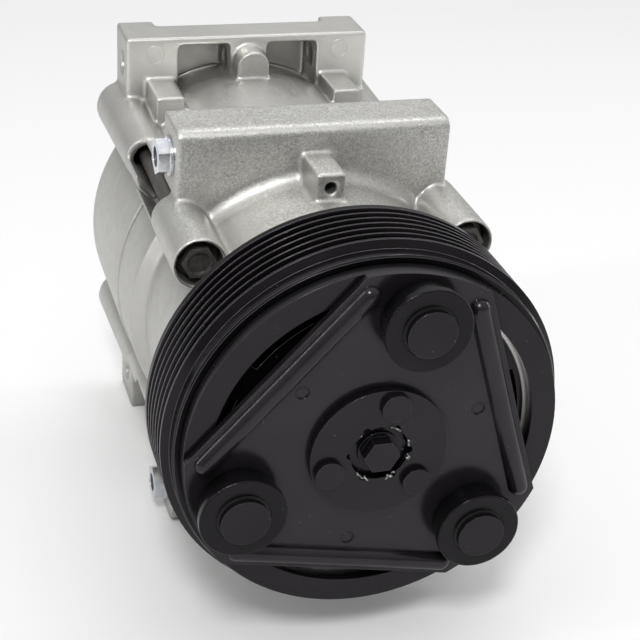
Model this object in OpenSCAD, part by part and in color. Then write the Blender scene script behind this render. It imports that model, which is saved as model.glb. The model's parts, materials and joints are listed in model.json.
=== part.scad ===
// Ten-cylinder swash-plate air-conditioning compressor with an electromagnetic clutch.
// The shaft lies along Y with the pulley towards -Y, and the two long mounting blocks are on top.
// The origin is on the shaft axis, in the middle plane of the belt track.

/* [Pulley] */
// Outer diameter of the ribbed pulley
pulley_d = 130; // [120:1:140]
// Number of belt grooves
groove_count = 6; // [4:1:6]
// Distance from one belt groove to the next
groove_pitch = 3.56; // [3.4:0.01:3.6]
// Depth of each belt groove
groove_depth = 2.9; // [2:0.1:3.2]
// Distance from the belt's middle plane to the friction face
rotor_reach = 17.5; // [17:0.1:19]

/* [Clutch] */
// Gap between the armature and the friction face when the clutch is off
air_gap = 0.5; // [0.3:0.05:0.8]
// Thickness of the armature ring
armature_t = 4.2; // [3.5:0.1:5]
// Outer diameter of the armature ring
armature_d = 120.6; // [116:0.2:122]
// Thickness of the three-cornered drive plate
drive_plate_t = 2.3; // [2:0.1:3]
// Distance from the shaft axis to each straight side of the drive plate
drive_plate_side = 46; // [44:0.5:48]
// Distance from the shaft axis to each rubber damper
damper_pitch_r = 45.9; // [44:0.1:47]
// Diameter of the lip of each damper cup
damper_cup_d = 27.4; // [26:0.2:29]
// Angle of the first damper from +X towards +Z
damper_angle = 77.8; // [0:0.1:120]
// Diameter of the hub flange
hub_flange_d = 44.4; // [42:0.2:46]

/* [Body] */
// Outer diameter of the front head
front_head_d = 110; // [108:1:112]
// Outer diameter of the cylinder housing
housing_d = 120; // [119:0.5:124]
// Distance along the shaft from the belt plane to the joint between the housings
seam_y = 94; // [90:1:98]
// Distance along the shaft from the belt plane to the rear rim
rear_rim_y = 151; // [150:1:154]
// Sideways distance from the shaft axis to each through bolt
bolt_x = 45.2; // [44.5:0.1:46]
// Height of each through bolt above or below the shaft axis
bolt_z = 41.5; // [41:0.1:42.5]

/* [Mounts] */
// Length of the mounting blocks from side to side
mount_w = 94; // [90:1:98]
// Height of the top face of the upper mounting blocks above the shaft axis
mount_top_z = 74; // [73:0.5:76]
// Depth of the bottom face of the lower mounting blocks below the shaft axis
mount_bottom_z = 80; // [78:0.5:82]
// Diameter of the bolt holes through the mounting blocks
mount_hole_d = 8.6; // [8.4:0.1:9]

/* [Cylinders] */
// Diameter of each cylinder bore
bore_d = 29; // [27:0.5:29]
// Distance from the shaft axis to each cylinder bore
bore_pitch_r = 33; // [32.5:0.1:33.2]
// Tilt of the swash plate
swash_tilt = 20; // [16:1:20]
// Diameter of the main part of the shaft
shaft_d = 17; // [16:0.5:17]

/* [Hidden] */
$fn = 72;
eps = 0.5;
running_gap = 0.05;

// Stations along the shaft, from front to back
rotor_face_y = -rotor_reach;
armature_back_y = rotor_face_y - air_gap;
armature_front_y = armature_back_y - armature_t;
plate_front_y = armature_front_y - drive_plate_t;
hub_face_y = plate_front_y - 2.7;
cup_front_y = plate_front_y - 8.6;
pin_front_y = cup_front_y - 2.3;
rotor_wall_t = 6;
rotor_rear_y = 12.6;
coil_seat_y = 16;
bearing_half_w = 11;
nose_front_y = -14;
boss_front_y = 25.8;
boss_rear_y = 62;
front_block_y = [54.8, 75.8];
rear_block_y = [146.8, 166.8];
rear_block_end_y = 167.8;
low_front_block_y = [55, 76];
low_rear_block_y = [136, 158];
rear_boss_y = [110, 165];
rear_face_y = 160;
port_face_y = 172;

// Radii shared by several pieces
pulley_r = pulley_d / 2;
bearing_outer_r = 26;
bearing_inner_r = 17.5;
ball_pitch_r = 21.75;
ball_r = 2.55;
ball_row_y = 4.8;
ball_count = 18;
shaft_r = shaft_d / 2;
housing_r = housing_d / 2;
front_head_r = front_head_d / 2;
block_r = 53.9;
block_bore_r = 54.1;
seam_step = 0.6;
channel_floor_r = 57.4;
seal_pitch_r = 55.1;
boss_r = 8.8;
rear_boss_r = [8.5, 10.2];
counterbore_r = 7.7;
bolt_shank_r = 3;
bolt_circle_r = norm([bolt_x, bolt_z]);
armature_hole_r = 52.3;
mount_hole_r = mount_hole_d / 2;
sleeve_r = 5.5;
thread_m8_r = 3.4;
mount_half_w = mount_w / 2;
front_hole = [65.3, 62];
rear_hole = [156.5, 62.3];
low_front_hole = [65.5, -68];
low_rear_hole = [147, -68];

// Valve plate stack, counted outwards from the middle of the swash plate
mid_y = 105.5;
block_half_l = 32.5;
suction_reed_t = 0.4;
valve_plate_t = 3;
discharge_reed_t = 0.4;
gasket_t = 0.5;
suction_reed_at = block_half_l;
valve_plate_at = suction_reed_at + suction_reed_t;
discharge_reed_at = valve_plate_at + valve_plate_t;
gasket_at = discharge_reed_at + discharge_reed_t;
stack_end = gasket_at + gasket_t;

// Pistons, shoes and swash plate
piston_count = 5;
piston_phase = 90;
piston_r = bore_d / 2 - running_gap;
head_inner = 9.3;
head_outer = 20;
shoe_pad = 6.3;
shoe_pad_r = 6.5;
shoe_sphere_r = 8;
shoe_rim_r = 6.2;
swash_r = 40;
swash_half_t = 3.5;
swash_hub_r = 17;
swash_hub_half = 11;
bridge_inner_r = 41.3;
thrust_washer_t = 0.8;
thrust_roller_r = 1;
thrust_gap = 0.03;
block_face = swash_hub_half + 2 * thrust_washer_t + 2 * thrust_roller_r + 4 * thrust_gap;

// Ports on the rear face, as [x, radius]
port_z = 22;
suction_port = [-12, 8];
discharge_port = [34, 6];
port_stud_x = 11;
relief_at = [-22, -12];

CAST = "#c4c1ba";
STEEL = "#a9abad";
DARK = "#2b2b2d";
BLACK = "#1d1d1f";
ZINC = "#cfd6de";
BRASS = "#b8954a";
RUBBER = "#26262a";
COPPER = "#b0673a";

// A solid of revolution about the shaft axis, from an outline of [radius, y]
module turn() {
    rotate([-90, 0, 0]) rotate_extrude() children();
}

// A flat outline in X and Z, given depth from y0 to y1
module slab(y0, y1) {
    translate([0, y1, 0]) rotate([90, 0, 0]) linear_extrude(y1 - y0) children();
}

// A round bar parallel to the shaft
module rod(y0, y1, r, x = 0, z = 0) {
    translate([x, y1, z]) rotate([90, 0, 0]) cylinder(r = r, h = y1 - y0);
}

// A round bar across the body, from x0 to x1
module cross_rod(x0, x1, r, y, z) {
    translate([x0, y, z]) rotate([0, 90, 0]) cylinder(r = r, h = x1 - x0);
}

// A washer or sleeve about the shaft axis
module ring(y0, y1, r_in, r_out) {
    turn() translate([r_in, y0]) square([r_out - r_in, y1 - y0]);
}

// A box given by its low and high corners
module box(low, high) {
    translate(low) cube(high - low);
}

// A hexagonal prism parallel to the shaft, from its width across flats
module hex_rod(y0, y1, flats, x = 0, z = 0) {
    translate([x, y1, z]) rotate([90, 0, 0]) cylinder(r = flats / sqrt(3), h = y1 - y0, $fn = 6);
}

// An open snap ring with a gap facing down
module snap_ring(y0, y1, r_in, r_out) {
    difference() {
        ring(y0, y1, r_in, r_out);
        box([-2, y0 - eps, -r_out - eps], [2, y1 + eps, 0]);
    }
}

// Copies for the three dampers
module per_damper() {
    for (i = [0:2]) rotate([0, -damper_angle - 120 * i, 0]) children();
}

// Copies at the four through bolts
module per_bolt() {
    for (sx = [-1, 1], sz = [-1, 1]) translate([sx * bolt_x, 0, sz * bolt_z]) children();
}

// ---------------------------------------------------------------- cast bodies

// Outline of one bolt boss with the arm that ties it to the body, seen along the shaft
module boss_outline(r, arm_from, arm_half_w) {
    for (sx = [-1, 1], sz = [-1, 1]) {
        translate([sx * bolt_x, sz * bolt_z]) circle(r = r);
        rotate(atan2(sz * bolt_z, sx * bolt_x))
            translate([arm_from, -arm_half_w]) square([bolt_circle_r - arm_from, 2 * arm_half_w]);
    }
}

// Hollow of the open trough that guides the bare length of each through bolt
module channel_outline(half_w) {
    difference() {
        for (sx = [-1, 1], sz = [-1, 1]) rotate(atan2(sz * bolt_z, sx * bolt_x))
            translate([channel_floor_r - 3, -half_w]) square([24, 2 * half_w]);
        circle(r = channel_floor_r);
    }
}

// A mounting block seen from the side, with its two front corners rounded
module block_side(y_range, z_range, r_top, r_bottom) {
    y0 = y_range[0];
    z0 = z_range[0];
    z1 = z_range[1];
    difference() {
        translate([y0, z0]) square([y_range[1] - y0, z1 - z0]);
        if (r_top > 0) translate([y0 - eps, z1 - r_top]) square([r_top + eps, r_top + eps]);
        if (r_bottom > 0) translate([y0 - eps, z0 - eps]) square([r_bottom + eps, r_bottom + eps]);
    }
    if (r_top > 0) translate([y0 + r_top, z1 - r_top]) circle(r = r_top);
    if (r_bottom > 0) translate([y0 + r_bottom, z0 + r_bottom]) circle(r = r_bottom);
}

// Depth across the body for an outline drawn in Y and Z
module across(half_w) {
    translate([-half_w, 0, 0]) rotate([90, 0, 90]) linear_extrude(2 * half_w) children();
}

module front_mount_blocks() {
    corner_r = 3.5;
    across(mount_half_w) block_side(front_block_y, [49.5, mount_top_z], corner_r, 0);
    box([-38, front_block_y[0], 30], [38, front_block_y[1], 50]);
    across(mount_half_w) block_side(low_front_block_y, [-mount_bottom_z, -56], 0, corner_r);
    box([-38, low_front_block_y[0], -57], [38, low_front_block_y[1], -30]);
}

// Concave blend where the front head meets the face of the upper block
module block_fillet() {
    fillet = 6;
    intersection() {
        turn() difference() {
            translate([front_head_r - 1, front_block_y[0] - fillet]) square([fillet + 1, fillet + 1]);
            translate([front_head_r + fillet, front_block_y[0] - fillet]) circle(r = fillet + 0.1);
        }
        box([-36, 40, 30], [36, 60, 70]);
    }
}

// Square post with a threaded hole, for a pipe or cable bracket
module bracket_post() {
    box([-5, 37.3, 54.5], [5, front_block_y[0] + 1, 64.5]);
    box([-5, 37.3, 45], [5, front_block_y[0] + 1, 55]);
}

// Turned body of the front head with its four bolt bosses and troughs
module front_head() {
    difference() {
        union() {
            turn() polygon([[0, nose_front_y], [16.9, nose_front_y], [bearing_inner_r, -13.4],
                [bearing_inner_r, bearing_half_w], [19.5, bearing_half_w], [19.5, 11.6],
                [22, 11.6], [22, coil_seat_y], [45, coil_seat_y], [53, 24], [front_head_r, 30],
                [front_head_r, 65.5], [housing_r - seam_step, 70.5], [housing_r - seam_step, seam_y],
                [0, seam_y]]);
            slab(boss_front_y, boss_rear_y) boss_outline(boss_r, 40, 7.5);
            slab(boss_rear_y - 1, seam_y) boss_outline(8.7, 48, 8.2);
        }
        slab(boss_rear_y, seam_y + eps) channel_outline(7.2);
    }
}

module front_housing() {
    color(CAST) difference() {
        union() {
            front_head();
            front_mount_blocks();
            block_fillet();
            bracket_post();
        }
        front_housing_hollows();
        per_bolt() {
            rod(boss_front_y - eps, boss_front_y + 9.2, counterbore_r);
            rod(boss_front_y + 9, boss_rear_y + eps, bolt_shank_r + 0.3);
        }
        rod(36, 49, 2.1, 0, 59.5);
        for (h = [front_hole, low_front_hole]) {
            cross_rod(-mount_half_w - eps, mount_half_w + eps, mount_hole_r, h[0], h[1]);
            cross_rod(-mount_half_w - eps, -mount_half_w + 20, sleeve_r, h[0], h[1]);
        }
    }
}

// Shaft tunnel, snap-ring grooves, gas chambers and the bore for the cylinder block
module front_housing_hollows() {
    rod(nose_front_y - eps, 11.2, 13);
    rod(11, 70, 10);
    ring(1.5, 2.8, 12.5, 14);
    ring(-12.45, -11.15, 16.6, 19);
    ring(12.05, 13.15, 20.9, 23);
    ring(44, 70, 20, 33);
    ring(38, 70, 36, 49);
    rod(mid_y - stack_end, seam_y + eps, block_bore_r);
    rod(seam_y - 1.9, seam_y + eps, seal_pitch_r + 1);
}

// Upper rear block: solid ends, a web with two windows between them, and a rib in the middle
module rear_top_block() {
    web_half = 33;
    front = rear_block_y[0];
    intersection() {
        across(mount_half_w) polygon([[front, 40], [front, mount_top_z], [rear_block_end_y, mount_top_z],
            [rear_block_end_y, 40]]);
        union() {
            for (s = [-1, 1]) scale_box(s, web_half, mount_half_w, front, rear_block_end_y, 47.5);
            across(web_half + 1) polygon([[front, 45], [front, mount_top_z], [161.6, mount_top_z],
                [rear_block_y[1], 70], [rear_block_y[1], 45]]);
        }
    }
    for (s = [-1, 1]) scale_box(s, 28.6, 39.2, 127, front + 1, 40, 58);
    for (s = [-1, 1]) ejector_mark(36 * s);
    slab(138.3, front + 1) {
        translate([-6.3, 50]) square([12.6, 14]);
        translate([0, 64]) circle(r = 6.3);
    }
}

// A box on the left or right side
module scale_box(side, x0, x1, y0, y1, z0, z1 = mount_top_z) {
    low_x = side > 0 ? x0 : -x1;
    translate([low_x, y0, z0]) cube([x1 - x0, y1 - y0, z1 - z0]);
}

// The two pockets that open forwards beside the rib
module rear_windows() {
    difference() {
        for (s = [-1, 1]) scale_box(s, 7.2, 27, rear_block_y[0] - eps, 163.5, 45, 70.8);
        rod(rear_block_y[0] - 5, 170, 57.6);
    }
}

// Drafted bosses that hold the threads of the through bolts
module rear_bosses() {
    length = rear_boss_y[1] - rear_boss_y[0];
    per_bolt() translate([0, rear_boss_y[1], 0]) rotate([90, 0, 0])
        cylinder(r1 = rear_boss_r[1], r2 = rear_boss_r[0], h = length);
}

module port_pad() {
    slab(148, port_face_y) {
        translate([suction_port[0], port_z]) circle(r = 13);
        translate([discharge_port[0], port_z]) circle(r = 10.5);
        translate([suction_port[0], port_z - 10]) square([discharge_port[0] - suction_port[0], 20]);
    }
}

module rear_housing() {
    rim_r = 4;
    color(CAST) difference() {
        union() {
            turn() {
                polygon([[0, seam_y], [housing_r, seam_y], [housing_r, rear_rim_y - rim_r],
                    [housing_r - rim_r, rear_rim_y], [51, rear_rim_y], [49, rear_face_y], [0, rear_face_y]]);
                translate([housing_r - rim_r, rear_rim_y - rim_r]) circle(r = rim_r);
            }
            slab(seam_y, rear_boss_y[1]) boss_outline(7.9, 44, 6.7);
            rear_bosses();
            rear_top_block();
            intersection() {
                rod(140, rear_block_y[1], 57.6);
                box([-34, 140, 30], [34, rear_block_y[1], 70]);
            }
            box([-mount_half_w, low_rear_block_y[0], -mount_bottom_z], [mount_half_w, low_rear_block_y[1], -56]);
            box([-38, low_rear_block_y[0], -57], [38, low_rear_block_y[1], -30]);
            port_pad();
            rod(rear_face_y - 1, 164, 9, relief_at[0], relief_at[1]);
            translate([0, 122, -63]) cylinder(r = 8.5, h = 8);
        }
        rear_housing_hollows();
        rear_windows();
        slab(seam_y - eps, rear_boss_y[0]) channel_outline(4.2);
        per_bolt() {
            rod(rear_boss_y[0] - eps, 128, 5.5);
            rod(127, 153, bolt_shank_r + 0.05);
        }
        for (h = [rear_hole, low_rear_hole])
            cross_rod(-mount_half_w - eps, mount_half_w + eps, mount_hole_r, h[0], h[1]);
    }
}

// Raised round witness mark on the face of the upper rear block
module ejector_mark(x) {
    slab(rear_block_y[0] - 0.25, rear_block_y[0] + eps) translate([x, 67.7]) difference() {
        circle(r = 3.6);
        circle(r = 3.15);
    }
}

module rear_housing_hollows() {
    rod(seam_y - eps, mid_y + stack_end, block_bore_r);
    rod(140, 148, 10);
    ring(140, 154, 14, 33);
    ring(140, 154, 36, 46);
    rod(153, port_face_y + eps, suction_port[1], suction_port[0], port_z);
    rod(153, port_face_y + eps, discharge_port[1], discharge_port[0], port_z);
    rod(158, port_face_y + eps, thread_m8_r, port_stud_x, port_z);
    rod(153, 164 + eps, 5.05, relief_at[0], relief_at[1]);
    translate([0, 122, -64]) cylinder(r = 5.05, h = 12);
}

module housing_seal() {
    color(RUBBER) turn() translate([seal_pitch_r, seam_y - 0.95]) circle(r = 0.9);
}

module through_bolts() {
    seat_y = boss_front_y + 9.2 - 1.1;
    color(BLACK) per_bolt() difference() {
        union() {
            rod(seat_y - 1.5, seat_y, 7);
            hex_rod(seat_y - 7, seat_y - 1.2, 10);
            rod(seat_y - 1, 150, bolt_shank_r);
        }
        rod(seat_y - 7 - eps, seat_y - 6, 3.8);
    }
}

module bolt_washers() {
    seat_y = boss_front_y + 9.2;
    color(COPPER) per_bolt() difference() {
        rod(seat_y - 1.05, seat_y - 0.05, 7.2);
        rod(seat_y - 2, seat_y + 1, bolt_shank_r + 0.2);
    }
}

// Zinc-plated threaded sleeves in the left ends of the front mounting blocks
module mount_sleeves() {
    x0 = -mount_half_w;
    color(ZINC) for (h = [front_hole, low_front_hole]) difference() {
        union() {
            translate([x0 - 5, h[0], h[1]]) rotate([0, 90, 0]) cylinder(r = 11 / sqrt(3), h = 4.2, $fn = 6);
            cross_rod(x0 - 1, x0, 6.6, h[0], h[1]);
            cross_rod(x0 - 0.5, x0 + 19.5, sleeve_r - running_gap, h[0], h[1]);
        }
        cross_rod(x0 - 6, x0 + 21, thread_m8_r, h[0], h[1]);
    }
}

// ---------------------------------------------------------------- valve stacks

// Places a thin disc of the stack at the front (side -1) or the rear (side 1)
module stack_disc(side, at, thickness) {
    y0 = side > 0 ? mid_y + at : mid_y - at - thickness;
    slab(y0, y0 + thickness) children();
}

// Copies at the five cylinders in a flat outline
module per_cylinder_2d() {
    for (i = [0:piston_count - 1]) rotate(piston_phase + 360 / piston_count * i) children();
}

// Ring-shaped gasket with a bridge between the two gas chambers
module gasket_outline() {
    difference() {
        circle(r = block_r);
        circle(r = 49);
    }
    difference() {
        circle(r = 36);
        circle(r = 33);
    }
}

// Five reed tongues cut free in a thin disc
module reed_outline(tongue_r, tongue_w) {
    difference() {
        circle(r = block_r);
        circle(r = 10);
        per_cylinder_2d() difference() {
            translate([tongue_r, 0]) circle(r = 6.5);
            translate([tongue_r, 0]) circle(r = 4.6);
            translate([tongue_r - 9, -tongue_w / 2]) square([9, tongue_w]);
        }
    }
}

// Suction and discharge holes for each cylinder
module valve_plate_outline() {
    difference() {
        circle(r = block_r);
        circle(r = 10);
        per_cylinder_2d() {
            translate([40, 0]) circle(r = 3);
            translate([27, 0]) circle(r = 3);
        }
    }
}

module front_head_gasket() { color(BLACK) stack_disc(-1, gasket_at, gasket_t) gasket_outline(); }
module rear_head_gasket() { color(BLACK) stack_disc(1, gasket_at, gasket_t) gasket_outline(); }

module front_discharge_reeds() {
    color(STEEL) stack_disc(-1, discharge_reed_at, discharge_reed_t) reed_outline(27, 6);
}

module rear_discharge_reeds() {
    color(STEEL) stack_disc(1, discharge_reed_at, discharge_reed_t) reed_outline(27, 6);
}

module front_valve_plate() {
    color(STEEL) stack_disc(-1, valve_plate_at, valve_plate_t) valve_plate_outline();
}

module rear_valve_plate() {
    color(STEEL) stack_disc(1, valve_plate_at, valve_plate_t) valve_plate_outline();
}

module front_suction_reeds() {
    color(STEEL) stack_disc(-1, suction_reed_at, suction_reed_t) reed_outline(40, 6);
}

module rear_suction_reeds() {
    color(STEEL) stack_disc(1, suction_reed_at, suction_reed_t) reed_outline(40, 6);
}

// ---------------------------------------------------------------- cylinder blocks

// Outline in X and Z shared by both blocks: five bores, gas passages and the bush bore
module block_outline() {
    difference() {
        circle(r = block_r);
        circle(r = 11);
        per_cylinder_2d() {
            translate([bore_pitch_r, 0]) circle(r = bore_d / 2);
            rotate(180 / piston_count) translate([42, 0]) circle(r = 4.5);
        }
    }
}

// Room for the turning swash plate, on both sides of the middle plane
module swash_room() {
    turn() polygon([[0, mid_y - block_face], [24, mid_y - block_face], [42.5, mid_y - 20],
        [42.5, mid_y + 20], [24, mid_y + block_face], [0, mid_y + block_face]]);
}

module front_cylinder_block() {
    color(CAST) difference() {
        slab(mid_y - block_half_l, mid_y) block_outline();
        swash_room();
        dowels(0.02);
    }
}

module rear_cylinder_block() {
    color(CAST) difference() {
        slab(mid_y, mid_y + block_half_l) block_outline();
        swash_room();
        dowels(0.02);
    }
}

// Two dowels that line up the cylinder blocks
module dowels(gap) {
    for (a = [-18, 198]) rod(mid_y - 6 - gap, mid_y + 6 + gap, 2 + gap, 50.2 * cos(a), 50.2 * sin(a));
}

module cylinder_dowels() { color(STEEL) dowels(0); }

// Plain steel-backed bushes that carry the shaft in the two blocks
module shaft_bushes() {
    color(BRASS) {
        ring(mid_y - 31, mid_y - 19, shaft_r + running_gap, 10.98);
        ring(mid_y + 19, mid_y + 31, shaft_r + running_gap, 10.98);
    }
}

// ---------------------------------------------------------------- thrust bearings

thrust_mid = swash_hub_half + thrust_washer_t + thrust_roller_r + 2 * thrust_gap;

module thrust_washers() {
    inner = swash_hub_half + thrust_gap;
    outer = block_face - thrust_gap - thrust_washer_t;
    color(STEEL) for (at = [inner, outer]) {
        ring(mid_y + at, mid_y + at + thrust_washer_t, 9, 17);
        ring(mid_y - at - thrust_washer_t, mid_y - at, 9, 17);
    }
}

// One row of radial needles, at a station along the shaft
module needle_row(y, gap) {
    needle_count = 18;
    for (i = [0:needle_count - 1]) rotate([0, i * 360 / needle_count, 0])
        translate([10.5 - gap, y, 0]) rotate([0, 90, 0]) cylinder(r = thrust_roller_r - 0.01 + gap, h = 5 + 2 * gap);
}

module thrust_needles() {
    color(STEEL) for (s = [-1, 1]) needle_row(mid_y + s * thrust_mid, 0);
}

module thrust_cages() {
    cage_half_t = 0.6;
    color(BRASS) for (s = [-1, 1]) difference() {
        ring(mid_y + s * thrust_mid - cage_half_t, mid_y + s * thrust_mid + cage_half_t, 9.4, 16.6);
        needle_row(mid_y + s * thrust_mid, 0.02);
    }
}

// ---------------------------------------------------------------- pistons and swash plate

// Angle of a cylinder about the shaft, and how far the tilted plate carries its piston
function piston_angle(i) = piston_phase + 360 / piston_count * (i - 1);
function piston_x(i) = bore_pitch_r * cos(piston_angle(i));
function piston_z(i) = bore_pitch_r * sin(piston_angle(i));
function piston_y(i) = mid_y - piston_z(i) * tan(swash_tilt);

// Double-ended piston: two heads joined outside the rim of the swash plate
module piston(i) {
    x = piston_x(i);
    y = piston_y(i);
    z = piston_z(i);
    color(CAST) difference() {
        union() {
            for (s = [-1, 1]) {
                rod(y + (s > 0 ? head_inner : -head_outer), y + (s > 0 ? head_outer : -head_inner), piston_r, x, z);
                rod(y + (s > 0 ? shoe_pad : -head_inner - 1), y + (s > 0 ? head_inner + 1 : -shoe_pad),
                    shoe_pad_r, x, z);
            }
            difference() {
                rod(y - head_inner - 1, y + head_inner + 1, piston_r, x, z);
                rod(y - head_inner - 2, y + head_inner + 2, bridge_inner_r);
            }
        }
        translate([x, y, z]) sphere(r = shoe_sphere_r + 0.03);
        for (s = [-1, 1]) piston_groove(x, y + s * 17.5, z);
    }
}

// Groove for the sealing ring near a piston crown
module piston_groove(x, y, z) {
    difference() {
        rod(y - 0.8, y + 0.8, piston_r + 1, x, z);
        rod(y - 1, y + 1, piston_r - 0.8, x, z);
    }
}

module piston_1() { piston(1); }
module piston_2() { piston(2); }
module piston_3() { piston(3); }
module piston_4() { piston(4); }
module piston_5() { piston(5); }

module piston_rings() {
    color(BLACK) for (i = [1:piston_count], s = [-1, 1]) difference() {
        rod(piston_y(i) + s * 17.5 - 0.75, piston_y(i) + s * 17.5 + 0.75, bore_d / 2 - 0.01,
            piston_x(i), piston_z(i));
        rod(piston_y(i) + s * 17.5 - 1, piston_y(i) + s * 17.5 + 1, piston_r - 0.75,
            piston_x(i), piston_z(i));
    }
}

// Part-spherical shoes that slide on the two faces of the swash plate
module piston_shoes() {
    color(STEEL) for (i = [1:piston_count], s = [0, 180])
        translate([piston_x(i), piston_y(i), piston_z(i)]) rotate([swash_tilt + s, 0, 0]) intersection() {
            sphere(r = shoe_sphere_r);
            rod(swash_half_t + 0.02, shoe_sphere_r + 1, shoe_rim_r);
        }
}

module swash_plate() {
    color(STEEL) difference() {
        union() {
            translate([0, mid_y, 0]) rotate([swash_tilt, 0, 0]) rod(-swash_half_t, swash_half_t, swash_r);
            rod(mid_y - swash_hub_half, mid_y + swash_hub_half, swash_hub_r);
        }
        rod(mid_y - 30, mid_y + 30, shaft_r + 0.03);
    }
}

// ---------------------------------------------------------------- shaft and its seal

spline_r = 6.6;
spline_tooth_h = 0.9;
spline_count = 10;

// Round core with straight teeth
module spline_outline(gap) {
    circle(r = spline_r + gap);
    for (i = [0:spline_count - 1]) rotate(i * 360 / spline_count)
        translate([0, -1 - gap]) square([spline_r + spline_tooth_h + gap, 2 + 2 * gap]);
}

module drive_shaft() {
    color(STEEL) difference() {
        union() {
            slab(-20, -8) spline_outline(0);
            rod(-8.2, 142, shaft_r);
        }
        rod(-20 - eps, 6, 3.05);
    }
}

module shaft_seal() {
    color(RUBBER) difference() {
        ring(3, 11, shaft_r + 0.03, 12.95);
        ring(2, 8, shaft_r + 1, 11.6);
    }
}

module seal_snap_ring() { color(STEEL) snap_ring(1.55, 2.75, 10.4, 13.9); }

// ---------------------------------------------------------------- pulley and its bearing

groove_top_half = groove_pitch / 2 - 0.25;
groove_root_half = groove_top_half - groove_depth * tan(20);

function groove_y(i) = (i - (groove_count - 1) / 2) * groove_pitch;

// Outside of the ribbed rim from front to back, with V grooves of 40 degrees
function rim_points() = [for (i = [0:groove_count - 1]) each [
    [pulley_r, groove_y(i) - groove_top_half],
    [pulley_r - groove_depth, groove_y(i) - groove_root_half],
    [pulley_r - groove_depth, groove_y(i) + groove_root_half],
    [pulley_r, groove_y(i) + groove_top_half]]];

// Curved slot in a flat outline, centred on +X
module arc_slot(r, width, angle) {
    reach = 2 * r;
    intersection() {
        difference() {
            circle(r = r + width / 2);
            circle(r = r - width / 2);
        }
        polygon([[0, 0], [reach * cos(angle / 2), -reach * sin(angle / 2)],
            [reach * cos(angle / 2), reach * sin(angle / 2)]]);
    }
}

module pulley() {
    shell_in = 54.5;
    shell_out = 31;
    wall_y = rotor_face_y + rotor_wall_t;
    color(DARK) difference() {
        turn() polygon(concat(
            [[bearing_outer_r, rotor_face_y], [pulley_r - 3, rotor_face_y], [pulley_r - 2.5, rotor_face_y + 0.6],
                [pulley_r - 2.5, -12.8], [pulley_r, -11.3]],
            rim_points(),
            [[pulley_r, rotor_rear_y], [shell_in, rotor_rear_y], [shell_in, wall_y], [shell_out, wall_y],
                [shell_out, 11.7], [24.9, 11.7], [24.9, bearing_half_w + 0.05],
                [bearing_outer_r, bearing_half_w + 0.05]]));
        ring(-12.45, -11.15, bearing_outer_r - 1, 27.4);
        slab(rotor_face_y - eps, wall_y + eps) for (i = [0:5]) {
            rotate(60 * i) arc_slot(48.2, 2.4, 46);
            rotate(60 * i + 30) arc_slot(40.2, 2.4, 42);
        }
    }
}

// Half outline of the ball grooves, cut from both races
module ball_tracks() {
    for (s = [-1, 1]) translate([ball_pitch_r, s * ball_row_y]) circle(r = ball_r + 0.03);
}

module bearing_inner_race() {
    color(STEEL) turn() difference() {
        translate([bearing_inner_r + 0.01, -bearing_half_w]) square([2.7, 2 * bearing_half_w - 0.02]);
        ball_tracks();
    }
}

module bearing_outer_race() {
    color(STEEL) turn() difference() {
        translate([23.3, -bearing_half_w]) square([2.68, 2 * bearing_half_w]);
        ball_tracks();
    }
}

// Copies for every ball in both rows; the rows are staggered by half a step
module per_ball() {
    for (s = [0, 1], i = [0:ball_count - 1]) rotate([0, (i + s / 2) * 360 / ball_count, 0])
        translate([ball_pitch_r, (2 * s - 1) * ball_row_y, 0]) children();
}

module bearing_balls() { color(STEEL) per_ball() sphere(r = ball_r); }

module bearing_cage() {
    color(BLACK) difference() {
        ring(-7.6, 7.6, 20.9, 22.6);
        per_ball() translate([-2, 0, 0]) rotate([0, 90, 0]) cylinder(r = ball_r + 0.03, h = 4);
    }
}

module bearing_seals() {
    color(RUBBER) for (y = [-bearing_half_w + 0.3, bearing_half_w - 1.1]) ring(y, y + 0.8, 20.3, 23.28);
}

module nose_snap_ring() { color(STEEL) snap_ring(-12.4, -11.2, 16.65, 20); }
module pulley_snap_ring() { color(STEEL) snap_ring(-12.4, -11.2, 24.3, 27.3); }

// ---------------------------------------------------------------- field coil

module coil_shell() {
    color(DARK) union() {
        turn() difference() {
            union() {
                translate([32.3, -10.5]) square([21.2, coil_seat_y + 10.5 - 0.02]);
                translate([22.05, 13.2]) square([20, coil_seat_y - 13.2 - 0.02]);
            }
            translate([34.3, -12]) square([17, 23.2]);
        }
        rotate([0, 70, 0]) box([50, 13.2, -6], [58, coil_seat_y - 0.02, 6]);
    }
}

module coil_winding() { color("#5a3a22") ring(-10.3, 11.1, 34.4, 51.2); }
module coil_snap_ring() { color(STEEL) snap_ring(12.1, 13.12, 20.95, 24.5); }

// Two-way plug housing on the tab of the coil plate
module coil_connector() {
    color(BLACK) rotate([0, 70, 0]) {
        difference() {
            box([56, coil_seat_y, -6.5], [74, 27, 6.5]);
            box([61, coil_seat_y + 1.5, -5], [75, 25.5, 5]);
        }
        for (z = [-2.5, 2.5]) box([60.5, 20.5, z - 0.4], [71, 22.3, z + 0.4]);
    }
}

// ---------------------------------------------------------------- clutch front

module clutch_shims() { color(STEEL) ring(-9, -8.22, 7.6, 10.5); }

module clutch_hub() {
    notch_count = 6;
    color(DARK) difference() {
        union() {
            rod(hub_face_y, plate_front_y, hub_flange_d / 2);
            rod(plate_front_y - 1, armature_front_y, 14.9);
            rod(armature_front_y - 1, -9.02, 11.5);
        }
        rod(hub_face_y - eps, -21.2, 9.4);
        slab(hub_face_y - eps, -24) for (i = [0:notch_count - 1])
            rotate(i * 360 / notch_count) translate([9.4, 0]) circle(r = 1.3);
        slab(-21.4, -9) spline_outline(running_gap);
        per_damper() rod(hub_face_y - 1, armature_front_y + 1, 2.55, 16.9);
    }
}

module hub_rivets() {
    color(DARK) per_damper() {
        rod(hub_face_y - 1.9, hub_face_y, 4.6, 16.9);
        rod(hub_face_y - 1, armature_front_y + 1, 2.5, 16.9);
        rod(armature_front_y, armature_front_y + 1.7, 4.2, 16.9);
    }
}

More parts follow.
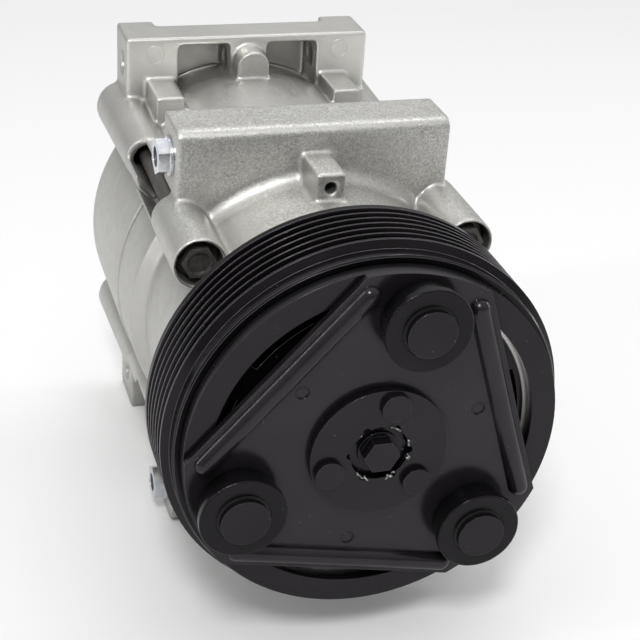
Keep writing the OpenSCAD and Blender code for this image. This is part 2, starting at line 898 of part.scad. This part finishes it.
// Outline of the three-cornered plate, rounded by the circle of the armature
module drive_plate_outline() {
    intersection() {
        circle(r = armature_d / 2);
        rotate(damper_angle) polygon([for (i = [0:2]) 2 * drive_plate_side * [cos(120 * i), sin(120 * i)]]);
    }
}

// Pressed stiffening bead along each side of the plate
module side_bead() {
    bead_r = 3.4;
    bead_at = 41.1;
    half_l = 35.3;
    y = plate_front_y + 0.5;
    rotate([0, 60, 0]) {
        translate([bead_at, y, -half_l]) cylinder(r = bead_r, h = 2 * half_l);
        for (z = [-half_l, half_l]) translate([bead_at, y, z]) sphere(r = bead_r);
    }
}

module drive_plate() {
    color(DARK) difference() {
        union() {
            slab(plate_front_y, armature_front_y) drive_plate_outline();
            per_damper() side_bead();
        }
        box([-80, armature_front_y, -80], [80, armature_front_y + 10, 80]);
        rod(plate_front_y - eps, armature_front_y + eps, 14.95);
        per_damper() {
            rod(plate_front_y - 1, armature_front_y + 1, 2.55, 16.9);
            rod(plate_front_y - 1, armature_front_y + 1, 5.5, damper_pitch_r);
            rotate([0, 60, 0]) rod(plate_front_y - 1, plate_front_y + 0.4, 2, 33.9);
        }
    }
}

// Cup with a wide front rim, rolled in over the rubber
module cup_outline(r_lip) {
    lip_l = 2.4;
    r_body = r_lip - 1.1;
    wall = 1.2;
    depth = plate_front_y - cup_front_y;
    difference() {
        union() {
            translate([0, 0.5]) square([r_lip, lip_l - 0.5]);
            square([r_lip - 0.5, 1]);
            translate([r_lip - 0.5, 0.5]) circle(r = 0.5);
            translate([0, 1]) square([r_body, depth - 1]);
        }
        translate([-1, wall]) square([r_body - wall + 1, depth - 2 * wall]);
        translate([-1, -1]) square([9.4, depth - wall + 1]);
        translate([-1, 0]) square([6.5, depth + 1]);
    }
}

module damper_cups() {
    color(DARK) per_damper() translate([damper_pitch_r, cup_front_y, 0])
        rotate([-90, 0, 0]) rotate_extrude() cup_outline(damper_cup_d / 2);
}

module damper_rubbers() {
    rubber_r = damper_cup_d / 2 - 2.35;
    color(RUBBER) per_damper() difference() {
        rod(cup_front_y + 1.25, plate_front_y - 1.25, rubber_r, damper_pitch_r);
        rod(cup_front_y - 1, plate_front_y, 4.05, damper_pitch_r);
    }
    color(RUBBER) per_damper() difference() {
        rod(cup_front_y + 0.2, cup_front_y + 1.3, 8.35, damper_pitch_r);
        rod(cup_front_y - 1, plate_front_y, 4.05, damper_pitch_r);
    }
}

module damper_pins() {
    color(DARK) per_damper() {
        rod(pin_front_y, cup_front_y - 0.4, 7.7, damper_pitch_r);
        rod(cup_front_y - 1, armature_front_y, 4, damper_pitch_r);
        rod(armature_front_y - 1, armature_back_y - 0.4, 3.2, damper_pitch_r);
    }
}

module armature_plate() {
    color(DARK) slab(armature_front_y, armature_back_y) difference() {
        union() {
            difference() {
                circle(r = armature_d / 2);
                circle(r = armature_hole_r);
            }
            for (i = [0:2]) rotate(damper_angle + 120 * i) translate([damper_pitch_r, 0]) circle(r = 9);
        }
        for (i = [0:2]) rotate(damper_angle + 120 * i) translate([damper_pitch_r, 0]) circle(r = 3.22);
    }
}

module clutch_washer() { color(STEEL) ring(-24.9, -21.25, 3.1, 9.2); }

module clutch_bolt() {
    color(STEEL) union() {
        hex_rod(-29.8, -24.95, 10);
        rod(-25.8, -24.95, 6.6);
        rod(-25, 4, 3);
    }
}

// ---------------------------------------------------------------- rear fittings

module relief_valve() {
    color(BRASS) {
        rod(154, 164.5, 5, relief_at[0], relief_at[1]);
        hex_rod(164.05, 170, 14, relief_at[0], relief_at[1]);
        rod(169, 175, 4.5, relief_at[0], relief_at[1]);
    }
}

module oil_plug() {
    color(ZINC) translate([0, 122, 0]) {
        translate([0, 0, -63.5]) cylinder(r = 5, h = 8);
        translate([0, 0, -68]) cylinder(r = 12 / sqrt(3), h = 4.95, $fn = 6);
    }
}

front_housing();
rear_housing();
housing_seal();
through_bolts();
bolt_washers();
mount_sleeves();
front_head_gasket();
front_discharge_reeds();
front_valve_plate();
front_suction_reeds();
front_cylinder_block();
rear_cylinder_block();
rear_suction_reeds();
rear_valve_plate();
rear_discharge_reeds();
rear_head_gasket();
cylinder_dowels();
shaft_bushes();
thrust_washers();
thrust_cages();
thrust_needles();
swash_plate();
piston_1();
piston_2();
piston_3();
piston_4();
piston_5();
piston_rings();
piston_shoes();
drive_shaft();
shaft_seal();
seal_snap_ring();
bearing_inner_race();
bearing_outer_race();
bearing_balls();
bearing_cage();
bearing_seals();
nose_snap_ring();
pulley_snap_ring();
pulley();
coil_shell();
coil_winding();
coil_snap_ring();
coil_connector();
clutch_shims();
clutch_hub();
hub_rivets();
drive_plate();
damper_cups();
damper_rubbers();
damper_pins();
armature_plate();
clutch_washer();
clutch_bolt();
relief_valve();
oil_plug();
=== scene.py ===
import json
import math
import random

import bpy
import bmesh
from mathutils import Matrix, Vector


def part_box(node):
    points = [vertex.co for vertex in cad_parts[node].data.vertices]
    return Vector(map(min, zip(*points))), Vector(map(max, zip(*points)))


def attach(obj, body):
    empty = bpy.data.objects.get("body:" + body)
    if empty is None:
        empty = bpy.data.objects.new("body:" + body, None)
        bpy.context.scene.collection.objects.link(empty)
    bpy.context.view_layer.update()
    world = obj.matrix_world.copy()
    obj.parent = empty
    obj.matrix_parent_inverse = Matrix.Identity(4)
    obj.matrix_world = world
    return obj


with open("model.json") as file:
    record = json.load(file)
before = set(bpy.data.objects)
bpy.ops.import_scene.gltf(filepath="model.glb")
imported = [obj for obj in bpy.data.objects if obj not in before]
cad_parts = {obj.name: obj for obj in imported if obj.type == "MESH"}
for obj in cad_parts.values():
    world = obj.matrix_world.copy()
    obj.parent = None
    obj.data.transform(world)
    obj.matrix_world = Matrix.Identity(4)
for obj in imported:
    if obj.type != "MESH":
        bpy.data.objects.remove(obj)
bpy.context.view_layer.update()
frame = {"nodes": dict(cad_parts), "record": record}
nodes = frame["nodes"]
MM = 0.001
WHITE = (1, 1, 1, 1)

# Places on the compressor that finishes and small marks follow
BLOCK_FOOT_Z, BLOCK_SIDE_Z = 45 * MM, 52 * MM
FRONT_BLOCK_END_Y, FRONT_BLOCK_FADE_Y = 80 * MM, 84 * MM
REAR_BLOCK_FADE_Y, REAR_BLOCK_START_Y = 138 * MM, 144 * MM
TRACK_INNER_R, TRACK_OUTER_R = 51.0 * MM, 59.9 * MM
TRACK_FACE_Y = -17.3 * MM
EJECTOR_X, EJECTOR_Y, EJECTOR_Z = 36 * MM, 146.95 * MM, 67.7 * MM
POCKET_Y, POCKET_R = 162.6 * MM, 57.9 * MM
POCKET_SPANS = (("right", 62.5, 82.0), ("left", 98.0, 117.5))
STAKE_Y, STAKE_R = -27.15 * MM, 9.5 * MM
BURR_SPANS = ((48, 26), (8, 16), (222, 30), (282, 24), (130, 14), (340, 10))
DIMPLE_Y, DIMPLE_PITCH_R, DIMPLE_R = -24.5 * MM, 33.9 * MM, 2.15 * MM
DIMPLE_TURNS = (17.8, 137.8, 257.8)

# Rounding of the castings
CAST_VOXEL = 0.8 * MM
CAST_SMOOTHING_PASSES = 5

# Studio: name, place, target, size and power of each light
LIGHTS = (
    ("key", (-0.30, -0.65, 0.95), (0, 0.05, 0), (0.24, 0.24), 6.0),
    ("left_strip", (-0.95, -0.05, 0.42), (0, 0.05, 0), (0.04, 0.7), 1.5),
    ("right_strip", (0.95, 0.20, 0.22), (0, 0, 0), (0.04, 0.6), 1.1),
    ("back_strip", (0.30, 0.55, 1.05), (0, 0.05, 0), (0.9, 0.05), 2.0),
)
FLOOR_HALF_WIDTH = 6.0
CAMERA_PLACE = (-0.1406, -0.3788, 0.2544)
CAMERA_RIGHT = (0.95643, -0.28516, 0.06257)
CAMERA_UP = (0.08636, 0.48107, 0.87242)
CAMERA_LENS = 83.6
CAMERA_SENSOR = 36.0


# ------------------------------------------------------------------ node graphs

class Graph:
    """The node tree of a material or a world, with short calls for the nodes used below."""

    def __init__(self, owner, coords="Object"):
        self.owner = owner
        owner.use_nodes = True
        self.tree = owner.node_tree
        self.tree.nodes.clear()
        self.coords = self.add("ShaderNodeTexCoord").outputs[coords]

    def add(self, kind, settings=None, **inputs):
        node = self.tree.nodes.new(kind)
        for key, value in (settings or {}).items():
            setattr(node, key, value)
        for key, value in inputs.items():
            self.put(node, key.replace("_", " "), value)
        return node

    def put(self, node, key, value):
        """Sets an input, by its name or number, to a value or a link."""
        socket = node.inputs[int(key)] if key.isdigit() else node.inputs[key]
        if isinstance(value, bpy.types.NodeSocket):
            self.tree.links.new(value, socket)
        else:
            socket.default_value = value

    def math(self, operation, a, b=0.0):
        node = self.add("ShaderNodeMath", {"operation": operation})
        self.put(node, "0", a)
        self.put(node, "1", b)
        return node.outputs[0]

    def times(self, a, b):
        return self.math("MULTIPLY", a, b)

    def plus(self, a, b):
        return self.math("ADD", a, b)

    def ramp(self, value, low, high, to_low=0.0, to_high=1.0):
        node = self.add("ShaderNodeMapRange", {"clamp": True})
        for key, item in zip("01234", (value, low, high, to_low, to_high)):
            self.put(node, key, item)
        return node.outputs[0]

    def mix(self, share, a, b):
        node = self.add("ShaderNodeMix", {"data_type": "RGBA", "blend_type": "MIX"})
        self.put(node, "0", share)
        self.put(node, "6", a)
        self.put(node, "7", b)
        return node.outputs[2]

    def noise(self, scale, detail=2.0, roughness=0.5):
        node = self.add("ShaderNodeTexNoise", Vector=self.coords, Scale=scale,
                        Detail=detail, Roughness=roughness)
        return node.outputs["Fac"]

    def stripes(self, along, per_metre, detail):
        """Uneven lines along one measure, such as the rings a lathe leaves."""
        node = self.add("ShaderNodeTexNoise", {"noise_dimensions": "1D"},
                        W=self.times(along, per_metre), Scale=1.0, Detail=detail)
        return node.outputs["Fac"]

    def cells(self, scale):
        """The distance to the nearest grain, and two random numbers for that grain."""
        node = self.add("ShaderNodeTexVoronoi", Vector=self.coords, Scale=scale)
        split = self.add("ShaderNodeSeparateColor", Color=node.outputs["Color"])
        return node.outputs["Distance"], split.outputs[0], split.outputs[1]

    def split(self, vector):
        return self.add("ShaderNodeSeparateXYZ", Vector=vector).outputs

    def axis(self, name):
        return self.split(self.coords)[name]

    def shaft_radius(self):
        place = self.split(self.coords)
        square = self.plus(self.times(place["X"], place["X"]), self.times(place["Z"], place["Z"]))
        return self.math("SQRT", square)

    def bump(self, height, depth, strength=1.0, under=None):
        node = self.add("ShaderNodeBump", Height=height, Distance=depth, Strength=strength)
        if under is not None:
            self.put(node, "Normal", under)
        return node.outputs["Normal"]

    def soft_edges(self, radius):
        """The rounded normal at edges, and a mask that is 1 on them."""
        bevel = self.add("ShaderNodeBevel", {"samples": 4}, Radius=radius)
        flat = self.add("ShaderNodeNewGeometry").outputs["Normal"]
        dot = self.add("ShaderNodeVectorMath", {"operation": "DOT_PRODUCT"})
        self.put(dot, "0", bevel.outputs[0])
        self.put(dot, "1", flat)
        return bevel.outputs[0], self.ramp(dot.outputs["Value"], 0.97, 0.80)

    def crevice(self, reach):
        """1 in the open and 0 deep in a corner."""
        node = self.add("ShaderNodeAmbientOcclusion", {"samples": 4}, Distance=reach)
        return node.outputs["AO"]

    def finish(self, **inputs):
        surface = self.add("ShaderNodeBsdfPrincipled", **inputs)
        self.add("ShaderNodeOutputMaterial", Surface=surface.outputs[0])
        return self.owner


def new_material(name):
    return Graph(bpy.data.materials.new(name))


def grey(value, warm=0.0):
    return (value * (1 + warm), value, value * (1 - warm), 1.0)


def alloy(value):
    """Raw aluminium: a grey with a trace of yellow."""
    return (value * 1.01, value, value * 0.955, 1.0)


def soot(value):
    """Black coat: a grey with a trace of violet."""
    return (value * 1.08, value * 0.94, value * 1.10, 1.0)


# ------------------------------------------------------------------ materials

def cast_aluminium(name, tone, grit):
    """Blasted casting: grittier on the front blocks, with painted shade in corners and hollows and painted
    light on the front faces of the rear block.
    """
    g = new_material(name)
    _, salt_pick, pepper_pick = g.cells(2300)
    small, spark, _ = g.cells(3200)
    broad = g.noise(28, 3)
    mottle = g.noise(240, 3, 0.6)
    fine = g.noise(2600, 2, 0.7)
    skin = g.mix(g.ramp(broad, 0.35, 0.65), alloy(tone * 0.93), alloy(tone * 1.05))
    skin = g.mix(g.ramp(mottle, 0.3, 0.7, 0.0, 0.30), skin, alloy(tone * 0.80))

    facing = g.split(g.add("ShaderNodeNewGeometry").outputs["Normal"])
    level = g.math("MAXIMUM", g.math("ABSOLUTE", facing["Y"]), facing["Z"])
    on_block = g.times(g.ramp(g.math("ABSOLUTE", g.axis("Z")), BLOCK_FOOT_Z, BLOCK_SIDE_Z),
                       g.ramp(g.axis("Y"), FRONT_BLOCK_FADE_Y, FRONT_BLOCK_END_Y))
    gritty = g.times(g.ramp(level, 0.75, 0.97, 0.45, 1.0),
                     g.ramp(on_block, 0.0, 1.0, 0.22 * grit, grit))
    salt = g.times(g.ramp(salt_pick, 0.35, 1.0), gritty)
    pepper = g.times(g.ramp(pepper_pick, 0.35, 1.0), gritty)
    skin = g.mix(g.times(pepper, 0.55), skin, alloy(tone * 0.50))
    skin = g.mix(g.times(salt, 0.55), skin, alloy(min(1.0, tone * 1.5)))

    # Painted light: faces of the rear block that look to the front are painted lighter, standing in for
    # light falling on them.
    painted_rear_face_light = g.times(g.ramp(g.axis("Y"), REAR_BLOCK_FADE_Y, REAR_BLOCK_START_Y),
                      g.ramp(facing["Y"], -0.6, -0.9))
    skin = g.mix(g.times(painted_rear_face_light, 0.7), skin, alloy(min(1.0, tone * 1.55)))
    # Painted shade: the colour darkens in corners, where shade falls.
    corner = g.crevice(8 * MM)
    skin = g.mix(g.ramp(corner, 0.30, 0.90, 0.55, 0.0), skin, alloy(tone * 0.35))
    # Painted shade: the colour darkens in wide hollows, over a longer reach, where shade falls.
    hollow_shade = g.crevice(26 * MM)
    skin = g.mix(g.ramp(hollow_shade, 0.35, 0.85, 0.45, 0.0), skin, alloy(tone * 0.50))

    rough = g.plus(g.ramp(spark, 0.0, 1.0, 0.46, 0.33), g.ramp(mottle, 0.3, 0.7, -0.05, 0.06))
    height = g.plus(g.times(g.ramp(small, 0.0, 0.6), 0.6), g.times(fine, 0.7))
    height = g.times(height, g.plus(gritty, 0.35))
    height = g.plus(height, g.times(mottle, 1.4))
    return g.finish(Base_Color=skin, Metallic=0.82, Roughness=rough, Normal=g.bump(height, 0.05 * MM))


def coated_black(name, tone, rough_low, rough_high, gloss=0.46, edge_wear_and_highlight=4.0, friction_face=False):
    """Dip-coated black steel: fine orange peel, lighter edges that are partly worn coat and partly a painted
    highlight, painted shade in corners and a little dust.
    """
    g = new_material(name)
    bevel, edge_mask = g.soft_edges(0.35 * MM)
    peel = g.noise(1100, 2, 0.5)
    cloud = g.noise(45, 4, 0.6)
    distance, pick, _ = g.cells(600)
    dust = g.times(g.ramp(distance, 0.13, 0.08), g.ramp(pick, 0.965, 0.97))
    base = g.mix(g.ramp(cloud, 0.35, 0.65), soot(tone * 0.8), soot(tone * 1.25))
    # Lighter edges: partly worn coat and partly a painted highlight.
    base = g.mix(g.times(edge_mask, 0.40), base, soot(tone * edge_wear_and_highlight))
    base = g.mix(g.times(dust, 0.4), base, grey(0.30, 0.02))
    # Painted shade: the colour darkens in corners, where shade falls; the same mask dims the shine there.
    corner = g.crevice(6 * MM)
    base = g.mix(g.ramp(corner, 0.25, 0.85, 0.85, 0.0), base, soot(tone * 0.2))
    rough = g.ramp(cloud, 0.3, 0.7, rough_low, rough_high)
    rough = g.plus(rough, g.ramp(peel, 0.3, 0.7, -0.03, 0.03))
    shine = g.plus(g.ramp(corner, 0.20, 0.75, 0.10, gloss), g.times(edge_mask, 0.5))
    metal = 0.0
    if friction_face:
        across = g.shaft_radius()
        metal = g.times(g.ramp(across, TRACK_INNER_R, TRACK_INNER_R + 0.4 * MM),
                        g.ramp(across, TRACK_OUTER_R, TRACK_OUTER_R - 0.3 * MM))
        metal = g.times(metal, g.ramp(g.axis("Y"), TRACK_FACE_Y, TRACK_FACE_Y - 0.1 * MM))
        rings = g.stripes(across, 900, 1.0)
        base = g.mix(metal, base, g.mix(rings, grey(0.74, 0.02), grey(0.90, 0.02)))
        rough = g.plus(rough, g.times(metal, 0.24))
    return g.finish(Base_Color=base, Metallic=metal, Roughness=rough, Specular_IOR_Level=shine,
                    Specular_Tint=(1.0, 0.93, 1.0, 1.0), Normal=g.bump(peel, 0.02 * MM, 0.6, bevel))


def turned_steel(name, tone, rough, warm=0.0, stripes_per_m=5200, metallic=1.0):
    """Machined metal with fine rings left by the tool about the shaft axis."""
    g = new_material(name)
    bevel, edge_mask = g.soft_edges(0.25 * MM)
    rings = g.stripes(g.plus(g.shaft_radius(), g.axis("Y")), stripes_per_m, 2.0)
    stain = g.noise(90, 4, 0.6)
    base = g.mix(g.ramp(stain, 0.35, 0.7), grey(tone * 0.8, warm), grey(tone * 1.05, warm))
    # Painted highlight: edges are painted lighter than the faces.
    base = g.mix(g.times(edge_mask, 0.4), base, grey(min(1.0, tone * 1.5), warm))
    return g.finish(Base_Color=base, Metallic=metallic,
                    Roughness=g.ramp(rings, 0.3, 0.7, rough * 0.75, rough * 1.3),
                    Normal=g.bump(rings, 0.01 * MM, 0.6, bevel))


def plated(name, tone, rough):
    """Bright zinc plate with a faint mottle."""
    g = new_material(name)
    bevel, edge_mask = g.soft_edges(0.3 * MM)
    mottle = g.noise(420, 3, 0.6)
    base = g.mix(g.ramp(mottle, 0.35, 0.65), (tone * 0.82, tone * 0.86, tone * 0.93, 1.0),
                 (tone, tone * 1.02, tone * 1.06, 1.0))
    # Painted highlight: edges are painted lighter than the faces.
    base = g.mix(g.times(edge_mask, 0.5), base, grey(min(1.0, tone * 1.3)))
    return g.finish(Base_Color=base, Metallic=1.0, Roughness=g.ramp(mottle, 0.3, 0.7, rough, rough * 1.6),
                    Normal=g.bump(mottle, 0.03 * MM, 0.6, bevel))


def rubber(name, tone):
    """Moulded rubber with a dull, slightly dusty skin."""
    g = new_material(name)
    bevel, _ = g.soft_edges(0.4 * MM)
    grain = g.noise(1500, 3, 0.6)
    cloud = g.noise(60, 3)
    base = g.mix(g.ramp(cloud, 0.35, 0.7), grey(tone * 0.8), grey(tone * 1.5, 0.01))
    return g.finish(Base_Color=base, Roughness=g.ramp(cloud, 0.3, 0.7, 0.62, 0.78),
                    Normal=g.bump(grain, 0.03 * MM, 0.8, bevel))


def black_oxide(name, tone, rough):
    """Black-oxide steel, with bare metal just showing on its corners."""
    g = new_material(name)
    bevel, edge_mask = g.soft_edges(0.3 * MM)
    scuff = g.noise(700, 4, 0.7)
    worn = g.times(edge_mask, g.ramp(scuff, 0.35, 0.6))
    base = g.mix(g.ramp(scuff, 0.3, 0.75), grey(tone * 0.7, 0.08), grey(tone * 1.5, 0.06))
    base = g.mix(g.times(worn, 0.5), base, grey(0.28))
    return g.finish(Base_Color=base, Metallic=0.75, Roughness=g.ramp(scuff, 0.3, 0.7, rough, rough + 0.18),
                    Normal=g.bump(scuff, 0.02 * MM, 0.7, bevel))


def moulded_plastic(name, tone):
    """Moulded nylon with a fine spark-eroded texture."""
    g = new_material(name)
    bevel, _ = g.soft_edges(0.4 * MM)
    grain = g.noise(2200, 2, 0.6)
    cloud = g.noise(80, 3)
    base = g.mix(g.ramp(cloud, 0.35, 0.65), grey(tone * 0.85), grey(tone * 1.25))
    return g.finish(Base_Color=base, Roughness=g.ramp(grain, 0.3, 0.7, 0.42, 0.6),
                    Normal=g.bump(grain, 0.03 * MM, 0.7, bevel))


def enamelled_wire(name, wire_d):
    """Wound copper: turns of wire shown as rings about the shaft."""
    g = new_material(name)
    wave = g.math("SINE", g.times(g.plus(g.shaft_radius(), g.axis("Y")), 2 * math.pi / wire_d))
    shade = g.noise(200, 3)
    base = g.mix(g.ramp(shade, 0.3, 0.7), (0.16, 0.06, 0.03, 1), (0.27, 0.11, 0.05, 1))
    return g.finish(Base_Color=base, Metallic=0.6, Roughness=g.ramp(shade, 0.3, 0.7, 0.28, 0.42),
                    Normal=g.bump(wave, 0.12 * MM))


# The finish of each material slot
FINISHES = {
    "cast": cast_aluminium("cast_skin", tone=0.64, grit=1.15),
    "cast_inner": turned_steel("machined_casting", 0.62, 0.34, warm=0.01, stripes_per_m=2600, metallic=0.9),
    "black_coat": coated_black("clutch_coat", 0.011, 0.17, 0.25),
    # The pulley's light crest edges are mostly a painted highlight on its grooves, with a little wear.
    "black_pulley": coated_black("pulley_coat", 0.004, 0.12, 0.20, gloss=0.30, edge_wear_and_highlight=130.0,
                                 friction_face=True),
    "bare_steel": turned_steel("ground_steel", 0.50, 0.28),
    "dark_steel": black_oxide("bolt_steel", tone=0.13, rough=0.42),
    "zinc": plated("zinc_plate", tone=0.98, rough=0.16),
    "rubber": rubber("seal_rubber", tone=0.016),
    "bronze": turned_steel("bearing_bronze", 0.44, 0.32, warm=0.28),
    "copper": enamelled_wire("coil_wire", wire_d=0.9 * MM),
    "plastic": moulded_plastic("nylon", tone=0.03),
    "gasket": rubber("gasket_coat", tone=0.03),
}

# Nodes whose coat is a little darker or duller than that of their slot, or lighter on its edges (partly worn
# coat and partly a painted highlight)
NODE_FINISHES = {
    "armature_plate": coated_black("armature_coat", 0.007, 0.18, 0.28, gloss=0.36, edge_wear_and_highlight=8.0),
    "damper_cups": coated_black("cup_coat", 0.005, 0.20, 0.30, gloss=0.25, edge_wear_and_highlight=14.0),
    "damper_pins": coated_black("pin_coat", 0.008, 0.18, 0.26, gloss=0.32, edge_wear_and_highlight=10.0),
    "hub_rivets": coated_black("rivet_coat", 0.009, 0.18, 0.26, gloss=0.34, edge_wear_and_highlight=10.0),
    "clutch_hub": coated_black("hub_coat", 0.009, 0.16, 0.24, gloss=0.34, edge_wear_and_highlight=8.0),
    "clutch_bolt": coated_black("centre_bolt_coat", 0.009, 0.20, 0.30, gloss=0.36, edge_wear_and_highlight=16.0),
}


# ------------------------------------------------------------------ pieces

def dress_frame():
    """Gives every CAD node its own finish or that of its material slot."""
    slots = {part["node"]: part["material_slot"] for part in frame["record"]["subparts"]}
    for name, piece in nodes.items():
        piece.data.materials.clear()
        piece.data.materials.append(NODE_FINISHES.get(name, FINISHES[slots[name]]))
        piece.data.polygons.foreach_set("material_index", [0] * len(piece.data.polygons))


def cast_skin(piece):
    """Rounds every corner of a casting as its mould does."""
    skin = piece.modifiers.new("skin", "REMESH")
    skin.mode = "VOXEL"
    skin.voxel_size = CAST_VOXEL
    skin.use_smooth_shade = True
    rounding = piece.modifiers.new("rounding", "SMOOTH")
    rounding.factor = 0.5
    rounding.iterations = CAST_SMOOTHING_PASSES


def tube(name, finish, body, places, radius, sides):
    """A round bar bent through the given places; its radius may vary along it."""
    bm = bmesh.new()
    rings = []
    last = len(places) - 1
    for i, place in enumerate(places):
        ahead = places[min(i + 1, last)] - places[max(i - 1, 0)]
        turn = ahead.to_track_quat("Z", "Y").to_matrix()
        size = radius[i] if isinstance(radius, list) else radius
        rings.append([bm.verts.new(place + turn @ Vector((size * math.cos(a), size * math.sin(a), 0)))
                      for a in (2 * math.pi * k / sides for k in range(sides))])
    for first, second in zip(rings, rings[1:]):
        for k in range(sides):
            after = (k + 1) % sides
            bm.faces.new((first[k], first[after], second[after], second[k]))
    bm.faces.new(rings[0][::-1])
    bm.faces.new(rings[-1])
    add_piece(bm, name, finish, body)


def add_piece(bm, name, finish, body):
    bmesh.ops.recalc_face_normals(bm, faces=bm.faces)
    for face in bm.faces:
        face.smooth = True
    piece = add_object(name, mesh_from(bm, name))
    piece.data.materials.append(FINISHES[finish])
    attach(piece, body)


def mesh_from(bm, name):
    mesh = bpy.data.meshes.new(name)
    bm.to_mesh(mesh)
    bm.free()
    return mesh


def add_object(name, data):
    item = bpy.data.objects.new(name, data)
    bpy.context.scene.collection.objects.link(item)
    return item


def about_shaft(degrees):
    """The direction at an angle from +X towards +Z."""
    angle = math.radians(degrees)
    return Vector((math.cos(angle), 0, math.sin(angle)))


def arc(centre, radius, start, end, steps):
    """Places on an arc about the Y direction, with angles in degrees from +X towards +Z."""
    return [Vector(centre) + radius * about_shaft(start + (end - start) * k / steps)
            for k in range(steps + 1)]


def taper(size, steps):
    """Radii that swell from almost nothing to size and back, for a bar with rounded ends."""
    return [size * math.sqrt(max(0.02, 1 - (2 * k / steps - 1) ** 8)) for k in range(steps + 1)]


def add_witness_marks():
    """Two raised ejector rings on the front of the upper rear block."""
    for label, x in (("left", -EJECTOR_X), ("right", EJECTOR_X)):
        places = arc((x, EJECTOR_Y, EJECTOR_Z), 3.4 * MM, 0, 357, 40)
        tube("ejector_ring_" + label, "cast", "casing", places, 0.36 * MM, 8)


def add_plate_marks():
    """The rolled rims of the three small locating dimples pressed into the drive plate."""
    for index, turn in enumerate(DIMPLE_TURNS, 1):
        centre = DIMPLE_PITCH_R * about_shaft(turn)
        centre.y = DIMPLE_Y
        tube("dimple_rim_%d" % index, "black_coat", "shaft_group",
             arc(centre, DIMPLE_R, 0, 355, 30), 0.17 * MM, 8)


def add_window_lips():
    """Rolled lips where the two pockets of the rear block meet the arch below them."""
    steps = 24
    for label, start, end in POCKET_SPANS:
        tube("pocket_lip_" + label, "cast", "casing",
             arc((0, POCKET_Y, 0), POCKET_R, start, end, steps), taper(1.0 * MM, steps), 12)


def add_staking():
    """Bright burrs raised round the centre hole of the hub where it was staked."""
    chance = random.Random(7)
    steps = 14
    for index, (start, sweep) in enumerate(BURR_SPANS, 1):
        places = arc((0, STAKE_Y, 0), STAKE_R, start, start + sweep, steps)
        places = [place * (1 + chance.uniform(-0.035, 0.035)) for place in places]
        sizes = [size * chance.uniform(0.45, 1.15) for size in taper(0.42 * MM, steps)]
        tube("staking_burr_%d" % index, "bare_steel", "shaft_group", places, sizes, 7)


dress_frame()
add_witness_marks()
add_plate_marks()
add_window_lips()
add_staking()
for casting in ("front_housing", "rear_housing"):
    cast_skin(nodes[casting])


# ------------------------------------------------------------------ stage, light and camera

def add_floor(height):
    """Pale floor, a little darker in mirror-like reflections so that black parts stay black."""
    bm = bmesh.new()
    bmesh.ops.create_grid(bm, x_segments=1, y_segments=1, size=FLOOR_HALF_WIDTH)
    floor = add_object("floor", mesh_from(bm, "floor"))
    floor.location.z = height
    g = new_material("floor_paint")
    mirrored = g.add("ShaderNodeLightPath").outputs["Is Glossy Ray"]
    paint = g.mix(mirrored, grey(0.97), grey(0.70))
    floor.data.materials.append(g.finish(Base_Color=paint, Roughness=0.9, Specular_IOR_Level=0.1))


def add_light(name, place, target, size, power):
    light = bpy.data.lights.new(name, "AREA")
    light.shape = "RECTANGLE"
    light.size, light.size_y = size
    light.energy = power
    lamp = add_object(name, light)
    lamp.location = place
    lamp.rotation_mode = "QUATERNION"
    lamp.rotation_quaternion = (Vector(target) - Vector(place)).to_track_quat("-Z", "Y")


def add_world():
    """A studio bright overhead and behind, dimmer in front, below and on the left; the camera sees white."""
    world = bpy.data.worlds.new("studio")
    bpy.context.scene.world = world
    g = Graph(world, "Generated")
    height = g.ramp(g.axis("Z"), 0.0, 0.85, 0.34, 0.95)
    depth = g.ramp(g.axis("Y"), -1.0, 0.2, 0.60, 1.0)
    side = g.ramp(g.axis("X"), -0.9, 0.9, 0.74, 0.98)
    fill = g.add("ShaderNodeBackground", Color=WHITE, Strength=g.times(g.times(height, depth), side))
    seen = g.add("ShaderNodeBackground", Color=WHITE, Strength=1.0)
    either = g.add("ShaderNodeMixShader")
    g.put(either, "0", g.add("ShaderNodeLightPath").outputs["Is Camera Ray"])
    g.put(either, "1", fill.outputs[0])
    g.put(either, "2", seen.outputs[0])
    g.add("ShaderNodeOutputWorld", Surface=either.outputs[0])


def add_camera():
    camera = bpy.data.cameras.new("camera")
    camera.lens = CAMERA_LENS
    camera.sensor_width = CAMERA_SENSOR
    camera.clip_start, camera.clip_end = 0.01, 20.0
    holder = add_object("camera", camera)
    right, up = Vector(CAMERA_RIGHT), Vector(CAMERA_UP)
    turn = Matrix((right, up, right.cross(up))).transposed().to_4x4()
    holder.matrix_world = Matrix.Translation(CAMERA_PLACE) @ turn
    bpy.context.scene.camera = holder


bpy.context.scene.view_settings.view_transform = "Standard"
bpy.context.scene.view_settings.look = "None"
add_floor(min(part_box(casting)[0].z for casting in ("front_housing", "rear_housing")))
for lamp_settings in LIGHTS:
    add_light(*lamp_settings)
add_world()
add_camera()
